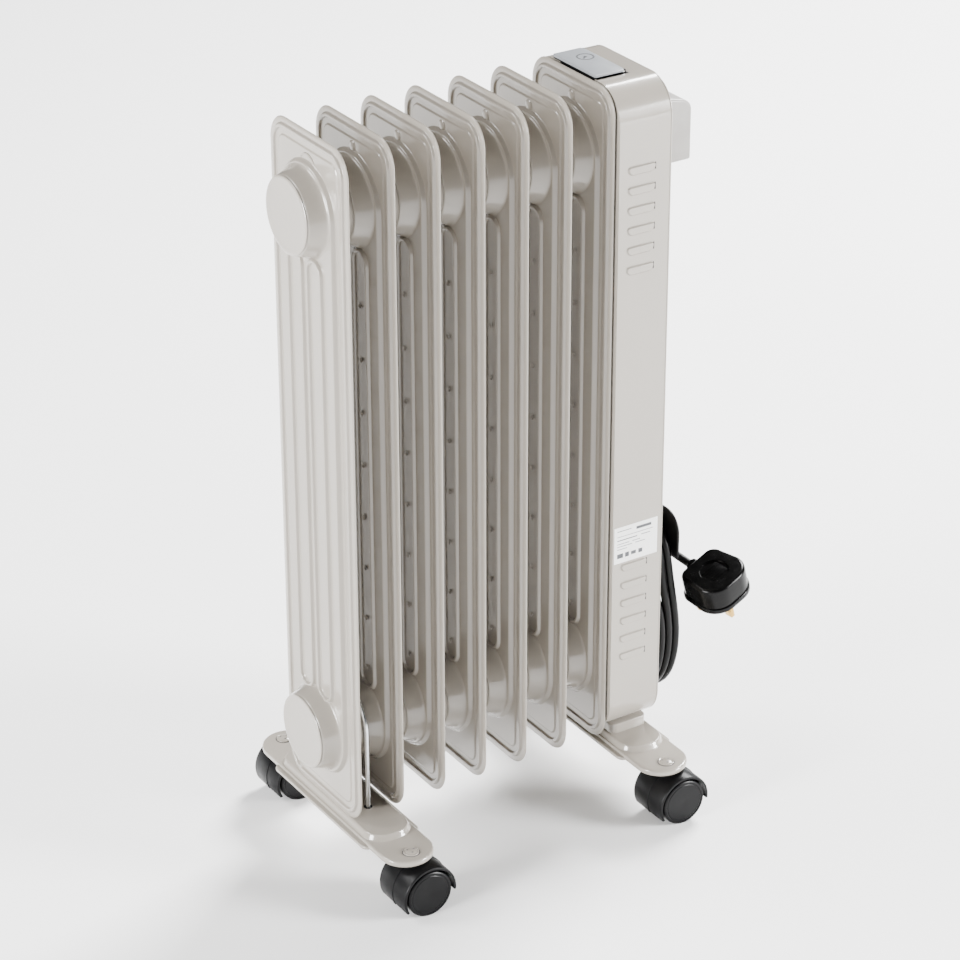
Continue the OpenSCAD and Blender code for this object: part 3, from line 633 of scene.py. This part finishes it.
# carrying handle, a hooded grip with three grooves on top
grip = dict(out=27, half=50, top=569, low=513, wall=4)
bm = bmesh.new()
out, top = grip["out"], grip["top"]
side = [(0, grip["low"]), (out, grip["low"]), (out, top - 13), (out - 1.2, top - 9), (out - 4, top - 6.4),
        (out - 8, top - 4.6), (0, top)]
verts = [bm.verts.new((faceX + a, -grip["half"], finZ + b)) for a, b in side]
face0 = bm.faces.new(verts)
moved = bmesh.ops.extrude_face_region(bm, geom=[face0])
ends = [v for v in moved["geom"] if isinstance(v, bmesh.types.BMVert)]
bmesh.ops.translate(bm, verts=ends, vec=(0, 2 * grip["half"], 0))
bm.edges.ensure_lookup_table()
rimEdges = [e for e in bm.edges if min(v.co.x for v in e.verts) > faceX + 1 or
            (abs(e.verts[0].co.y - e.verts[1].co.y) < 0.01 and max(v.co.x for v in e.verts) > faceX + 1)]
roundEdges(bm, rimEdges, 2.2, 4)
handle = meshFrom(bm, "handle")
bm = bmesh.new()
block(bm, (faceX - 5, grip["wall"] - grip["half"], finZ + grip["low"] - 10),
      (faceX + 23, grip["half"] - grip["wall"], finZ + top - 9), 2.5, 3)
handle = carve(handle, meshFrom(bm, "finger space"))
bm = bmesh.new()
for k in range(3):
    lathe(bm, [(-38, 0.05), (-38, 1.2), (38, 1.2), (38, 0.05)],
          (faceX + 5.5 + 4.4 * k, 0, finZ + top - 0.4 - 1.1 * k), "Y", 16)
handle = carve(handle, meshFrom(bm, "grooves"))
addPiece("carrying handle", handle, handlePlastic, nodes=("carry_handle",), angle=36)

# hinged lid over the tray, with a ring and a hand printed on it
lid = dict(frontX=0.2, axisX=27.2, axisZ=1.4, half=30, thick=2.2, y=3, barrel=27, iconX=17.5, iconY=13)
lidTop = boxTop + lid["axisZ"] + 2
bm = bmesh.new()
points = roundRect(lid["axisX"] - lid["frontX"] + 0.4, 2 * lid["half"], 1.6,
                   backX + (lid["axisX"] + lid["frontX"]) / 2 - 0.2, lid["y"], 4)
slab(bm, points, onPlan(lidTop - lid["thick"]), (0, 0, lid["thick"]), 0.5, 3)
long = lid["barrel"]
lathe(bm, [(-long, 0.9), (-long, 1.7), (0.3 - long, 2.0), (long - 0.3, 2.0), (long, 1.7), (long, 0.9),
           (-long, 0.9)], (backX + lid["axisX"], lid["y"], boxTop + lid["axisZ"]), "Y", 24)
solid("top lid", bm, silverPlastic, "lid", ("top_lid",))
bm = bmesh.new()
iconX, iconY = backX + lid["iconX"], lid["iconY"]
lathe(bm, [(0, 5.9), (0.06, 5.9), (0.06, 7.4), (0, 7.4), (0, 5.9)], (iconX, iconY, lidTop), "Z", 48)
hand = Matrix.Translation((iconX, iconY, lidTop)) @ Matrix.Rotation(radians(218), 4, "Z")
for low, high in (((0, -0.8, 0), (4.6, 0.8, 0.07)), ((-1.2, -1.2, 0), (1.2, 1.2, 0.07))):
    before = set(bm.verts)
    block(bm, low, high)
    bmesh.ops.transform(bm, matrix=hand, verts=[v for v in bm.verts if v not in before])
solid("lid marking", bm, paleLine, "lid")
bm = bmesh.new()
block(bm, (backX + 2.4, -0.6, boxTop - 0.6), (backX + 5.4, 5.6, boxTop + 0.9), 0.3, 2)
solid("lid catch", bm, zincSteel)
# a black block along the casing's rear edge under the lid: painted shade for the dark gap beneath the lid's
# edge
bm = bmesh.new()
block(bm, (backX - 0.25, -26, boxTop - 2.6), (backX + 1.2, 22, boxTop + 1.0), 0.2, 1)
solid("lid gap shade", bm, blackPlastic)

# rating label with plain rules and blocks where its print would be
label = dict(x=1.4, z=173.5, wide=43.4, tall=33.6, thick=0.22)
bm = bmesh.new()
labelX, labelZ, labelY = backX + label["x"], finZ + label["z"], -heater["boxW"] / 2
block(bm, (labelX, labelY - label["thick"], labelZ),
      (labelX + label["wide"], labelY, labelZ + label["tall"]), 0.08, 1)
solid("rating label", bm, labelFilm, nodes=("rating_label",))
bm = bmesh.new()
rules = ((3, 29.4, 14, 0.7), (22, 27.6, 15, 2.6), (3, 24.4, 36, 0.5), (3, 20.8, 20, 0.9), (27, 21.2, 9, 0.7),
         (3, 17.6, 12, 0.6), (18, 17.6, 8, 0.6), (3, 15.2, 15, 0.6), (21, 15.2, 10, 0.6), (3, 12.6, 10, 0.6),
         (3, 4.6, 6, 4.2), (11, 4.6, 4, 4.2), (17, 5.2, 5, 3.2), (24.4, 4.8, 4, 3.8))
for a, b, w, h in rules:
    block(bm, (labelX + a, labelY - 0.25, labelZ + b), (labelX + a + w, labelY - 0.21, labelZ + b + h))
solid("label rules", bm, paleLine)
print("control box ready")


# controls on the front
knob = dict(ribs=30, scaleR=24.5, marks=11, markStep=30)
bm = bmesh.new()
lathe(bm, [(1.2, 3.05), (1.2, 20.2), (1.9, 21), (4.4, 21), (5.2, 20.2), (5.4, 18.8), (13.4, 17.2), (14.6, 16.4),
           (15.0, 15.2), (14.6, 14.0), (14.3, 0.05)], (faceX, 0, knobZ), "X", 72)
for k in range(knob["ribs"]):
    before = set(bm.verts)
    block(bm, (6, -0.5, 16.6), (13, 0.5, 18.5), 0.2, 1)
    turn = Matrix.Translation((faceX, 0, knobZ)) @ Matrix.Rotation(2 * pi * k / knob["ribs"], 4, "X")
    bmesh.ops.transform(bm, matrix=turn, verts=[v for v in bm.verts if v not in before])
solid("thermostat knob", bm, handlePlastic, "thermostat", ("thermostat_knob",), 36)
bm = bmesh.new()
block(bm, (faceX + 14.2, -0.9, knobZ + 5), (faceX + 14.9, 0.9, knobZ + 14), 0.2, 2)
solid("knob pointer", bm, paleLine, "thermostat")
bm = bmesh.new()
for k in range(knob["marks"]):
    a = radians(-150 + knob["markStep"] * k)
    size = 2.6 if k % 5 else 3.6
    before = set(bm.verts)
    block(bm, (0, -0.4, knob["scaleR"]), (0.12, 0.4, knob["scaleR"] + size))
    turn = Matrix.Translation((faceX, 0, knobZ)) @ Matrix.Rotation(a, 4, "X")
    bmesh.ops.transform(bm, matrix=turn, verts=[v for v in bm.verts if v not in before])
solid("thermostat scale", bm, paleLine)

# rockers, drawn tipped one way
for y, body in ((-controls["switchY"], "low_heat"), (controls["switchY"], "high_heat")):
    bm = bmesh.new()
    arc = [radians(t) for t in range(-24, 25, 3)]
    side = [(-3, -11.2)] + [(-22 + 26.4 * cos(t), 26.4 * sin(t)) for t in arc] + [(-3, 11.2)]
    slab(bm, side, lambda a, b: Vector((a, -3.8, b)), (0, 7.6, 0), 0.7, 3)
    lathe(bm, [(-5.15, 0.05), (-5.15, 0.95), (5.15, 0.95), (5.15, 0.05)], (0, 0, 0), "Y", 20)
    place = Matrix.Translation((faceX - 2.2, y, switchZ)) @ Matrix.Rotation(radians(9), 4, "Y")
    bmesh.ops.transform(bm, matrix=place, verts=list(bm.verts))
    solid(body + "_rocker", bm, redPlastic, body + "_switch", (body + "_rocker",))

# cord hooks
hook = dict(half=39.6, corner=26, top=188.6, low=15, split=153, rise=60, lipX=24.2, lipT=2.6, lipHalf=50,
            lipTop=193, lipCorner=18, out=36)
hookMid = finZ + (hook["top"] + hook["low"]) / 2
hookTall = hook["top"] - hook["low"] - 15
drum = roundRect(2 * hook["half"], hookTall, hook["corner"], 0, hookMid, 12)


def clipOutline(points, low, high):
    # keeps the part of an outline between two heights
    made = []
    for i, (a, b) in enumerate(points):
        c, d = points[(i + 1) % len(points)]
        if low <= b <= high:
            made.append((a, b))
        for level in (low, high):
            if (b - level) * (d - level) < 0:
                t = (level - b) / (d - b)
                made.append((a + t * (c - a), level))
    return made


bm = bmesh.new()
split = finZ + hook["split"]
slab(bm, clipOutline(drum, split, finZ + 260), acrossUp(faceX), (hook["lipX"] + 0.5, 0, 0), 0.6, 2)
lip = roundRect(2 * hook["lipHalf"], 80, hook["lipCorner"], 0, finZ + hook["lipTop"] - 40, 12)
slab(bm, clipOutline(lip, split, finZ + 400), acrossUp(faceX + hook["lipX"]), (hook["lipT"], 0, 0), 1.0, 3)
solid("upper cord hook", bm, blackPlastic, nodes=("upper_cord_hook",), angle=40)
bm = bmesh.new()
lift = [(a, b + 1.4) for a, b in drum]
slab(bm, clipOutline(lift, finZ, finZ + hook["rise"]), acrossUp(faceX), (hook["out"] - 2, 0, 0), 0.6, 2)
tab = roundRect(34, 24, 8, 0, finZ + hook["low"] + 10, 8)
slab(bm, tab, acrossUp(faceX + hook["out"] - hook["lipT"]), (hook["lipT"], 0, 0), 1.0, 3)
solid("lower cord hook", bm, blackPlastic, nodes=("lower_cord_hook",), angle=40)
print("front ready")


# feet and clamps
feet = dict(x=(18.5, 271.5), length=236, width=54, padW=46, flangeL=152, skirt=47, deck=53, blockW=45,
            blockL=160, riserL=100, stemY=104)


def stadium(w, l, steps=20):
    return capsule(w / 2, -(l - w) / 2, (l - w) / 2, 0, steps)


for n, end in ((0, "front"), (1, "rear")):
    cx = heater["firstX"] + feet["x"][n]
    bm = bmesh.new()
    slab(bm, roundRect(feet["width"], feet["flangeL"], 7), onPlan(feet["skirt"], cx), (0, 0, 3.2), 1.0, 3)
    padZ = feet["skirt"] + 0.4
    slab(bm, stadium(feet["padW"], feet["length"]), onPlan(padZ, cx), (0, 0, feet["deck"] - padZ), 1.9, 5)
    outline = roundRect(feet["blockW"] - 0.4, feet["blockL"] + 4, 19, steps=12)
    raiseFace(bm, outline, onPlan(feet["deck"] - 0.3, cx), shoulder(3.6, finZ - feet["deck"] + 0.3, 8))
    if n == 1:
        rise = (0, 0, boxZ - finZ + 0.5)
        slab(bm, roundRect(36, feet["riserL"], 6), onPlan(finZ - 0.5, cx), rise, 1.0, 3, False)
    solid(f"{end} foot", bm, enamel, nodes=(f"{end}_foot",), angle=38)

# turned collar under each stem
bm = bmesh.new()
for n in (0, 1):
    for s in (-1, 1):
        lathe(bm, [(45.9, 4.1), (45.9, 8.2), (46.4, 8.8), (48, 8.8), (48, 4.1), (45.9, 4.1)],
              (heater["firstX"] + feet["x"][n], s * feet["stemY"], 0), "Z", 32)
solid("stem collars", bm, enamel)

# riveted stems; the heads are enamelled with the foot, each with a thin seam round it
rivet = dict(markR=3.0, markL=0.7, markW=0.35, low=54.6, top=54.95)
stemSide = [(27, 0), (27, 3.4), (27.6, 4.0), (53.2, 4.0), (53.2, 0)]
headSide = [(53, 0), (53, 6.6), (53.9, 6.5), (54.2, 5.9), (54.0, 5.2), (54.5, 4.2), (54.9, 2.6), (54.9, 0)]
seamSide = [(53.02, 6.7), (53.12, 6.7), (53.12, 7.3), (53.02, 7.3), (53.02, 6.7)]
for name, profile, mat, nodes in (("castor stems", stemSide, zincSteel, ("castor_stems",)),
                                  ("stem heads", headSide, enamel, ()),
                                  ("stem seams", seamSide, paleLine, ())):
    bm = bmesh.new()
    for n in (0, 1):
        for s in (-1, 1):
            at = (heater["firstX"] + feet["x"][n], s * feet["stemY"], 0)
            lathe(bm, profile, at, "Z", 40)
            if name == "stem seams":
                for a in (20, 140, 260):
                    x = at[0] + rivet["markR"] * cos(radians(a))
                    y = at[1] + rivet["markR"] * sin(radians(a))
                    block(bm, (x - rivet["markL"], y - rivet["markW"], rivet["low"]),
                          (x + rivet["markL"], y + rivet["markW"], rivet["top"]))
    solid(name, bm, mat, nodes=nodes)

clamp = dict(x=(20.0, 257.5), half=(33.8, 34.65), r=2.25)
for n, end in ((0, "front"), (1, "rear")):
    x = heater["firstX"] + clamp["x"][n]
    half = clamp["half"][n]
    low = finZ - 9
    path = [Vector((x, -half, low + (lowerZ - low) * k / 8)) for k in range(8)]
    path += [Vector((x, -half * cos(radians(a)), lowerZ + half * sin(radians(a)))) for a in range(0, 181, 6)]
    path += [Vector((x, half, lowerZ - (lowerZ - low) * k / 8)) for k in range(1, 9)]
    bm = bmesh.new()
    sweepTube(bm, path, clamp["r"], 16)
    solid(f"{end} clamp", bm, zincSteel, nodes=(f"{end}_clamp",), angle=50)
# thin black rings where the clamp enters the foot: painted shade for the holes round the rod
bm = bmesh.new()
for n in (0, 1):
    for s in (-1, 1):
        lathe(bm, [(0.02, 2.3), (0.02, 3.4), (0.3, 3.5), (0.3, 2.3), (0.02, 2.3)],
              (heater["firstX"] + clamp["x"][n], s * clamp["half"][n], finZ), "Z", 24)
solid("clamp holes", bm, blackPlastic)
print("feet ready")


# castors
castor = dict(trail=6, wheelR=20.5, hoodR=24.8, hoodT=2.2, hoodHalf=20)


def wheelProfile(s):
    r = castor["wheelR"]
    rows = [(4.4, 2.06), (4.4, r - 1.2), (5.0, r - 0.3), (6.0, r), (17.6, r), (18.8, r - 0.25), (19.4, r - 0.9),
            (19.6, r - 1.8), (19.55, r - 2.5), (19.2, r - 2.8), (19.2, r - 3.4), (19.5, r - 3.8), (19.6, 6.0),
            (19.45, 3.0), (19.4, 0.05)]
    return [(s * a, b) for a, b in rows]


for c in range(4):
    cx = heater["firstX"] + feet["x"][0 if c < 2 else 1]
    cy = (-1 if c % 2 == 0 else 1) * feet["stemY"]
    axle = Vector((cx + castor["trail"], cy, castor["wheelR"]))
    body = f"castor_{c + 1}"
    for s, tag in ((-1, "a"), (1, "b")):
        bm = bmesh.new()
        lathe(bm, wheelProfile(s), axle, "Y", 72)
        solid(f"castor {c + 1} wheel {tag}", bm, wheelPlastic, f"{body}_wheel_{tag}",
              (f"castor_{c + 1}_wheel_{tag}",), 34)
    bm = bmesh.new()
    r1, r0, w = castor["hoodR"], castor["hoodR"] - castor["hoodT"], castor["hoodHalf"]
    section = [(-w, r0), (-w, r1 - 0.9), (-w + 0.3, r1 - 0.3), (-w + 0.9, r1), (-1.6, r1), (-1.2, r1 + 0.5),
               (1.2, r1 + 0.5), (1.6, r1), (w - 0.9, r1), (w - 0.3, r1 - 0.3), (w, r1 - 0.9), (w, r0), (-w, r0)]
    ring = lathe(bm, section, axle, "Y", 56, 214, -118)
    bmesh.ops.holes_fill(bm, edges=[e for e in bm.edges if len(e.link_faces) == 1], sides=0)
    disc = []
    for k in range(57):
        a = radians(-118 + 214 * k / 56)
        disc.append((sin(a) * (r0 + 0.3), cos(a) * (r0 + 0.3)))
    slab(bm, disc, lambda a, b: Vector((axle.x + a, axle.y - 3.5, axle.z + b)), (0, 7, 0), 0.4, 1)
    lathe(bm, [(30, 4.1), (30, 8), (45.3, 8), (45.8, 7.5), (45.8, 4.1), (30, 4.1)], (cx, cy, 0), "Z", 40)
    solid(f"castor {c + 1} hood", bm, blackPlastic, body, (f"castor_{c + 1}_hood",), 36)
print("castors ready")


# finishes on the CAD pieces that stay
stay = {
    "filler_plug": zincSteel, "heating_element": zincSteel, "element_flange": brassMetal,
    "back_plate": zincSteel, "lid_tray": blackPlastic, "lid_pin": zincSteel,
    "thermostat_body": silverPlastic, "thermostat_shaft": zincSteel, "switch_housings": blackPlastic,
    "thermal_cutout": zincSteel, "terminal_block": silverPlastic, "inner_wiring": copperMetal,
    "clamp_nuts": zincSteel, "castor_1_axle": zincSteel, "castor_2_axle": zincSteel,
    "castor_3_axle": zincSteel, "castor_4_axle": zincSteel,
}
for name, mat in stay.items():
    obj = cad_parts[name]
    for k in range(len(obj.material_slots)):
        obj.material_slots[k].material = mat


# studio
floorMesh = bpy.data.meshes.new("floor")
bm = bmesh.new()
bmesh.ops.create_grid(bm, x_segments=1, y_segments=1, size=12)
bm.to_mesh(floorMesh)
bm.free()
floorMesh.materials.append(makeFloor())
floorObj = bpy.data.objects.new("floor", floorMesh)
bpy.context.scene.collection.objects.link(floorObj)

world = bpy.data.worlds.new("studio")
bpy.context.scene.world = world
world.use_nodes = True
world.node_tree.nodes["Background"].inputs["Color"].default_value = (1, 1, 1, 1)
world.node_tree.nodes["Background"].inputs["Strength"].default_value = 0.12


def addLight(name, place, target, size, power):
    data = bpy.data.lights.new(name, "AREA")
    data.shape = "RECTANGLE"
    data.size, data.size_y = size
    data.energy = power
    obj = bpy.data.objects.new(name, data)
    bpy.context.scene.collection.objects.link(obj)
    obj.location = place
    obj.rotation_euler = (Vector(target) - Vector(place)).to_track_quat("-Z", "Y").to_euler()


addLight("left softbox", (-3.4, -0.3, 0.9), (0, 0, 0.4), (1.0, 1.3), 290)
addLight("right softbox", (3.0, -2.9, 1.3), (0, 0, 0.35), (1.2, 1.7), 640)
addLight("left overhead", (-2.6, 1.6, 2.6), (-0.3, 0.5, 0.0), (1.4, 1.4), 130)
addLight("right overhead", (2.6, 1.2, 2.7), (0, 0, 0.1), (1.4, 1.4), 520)
print("studio ready")
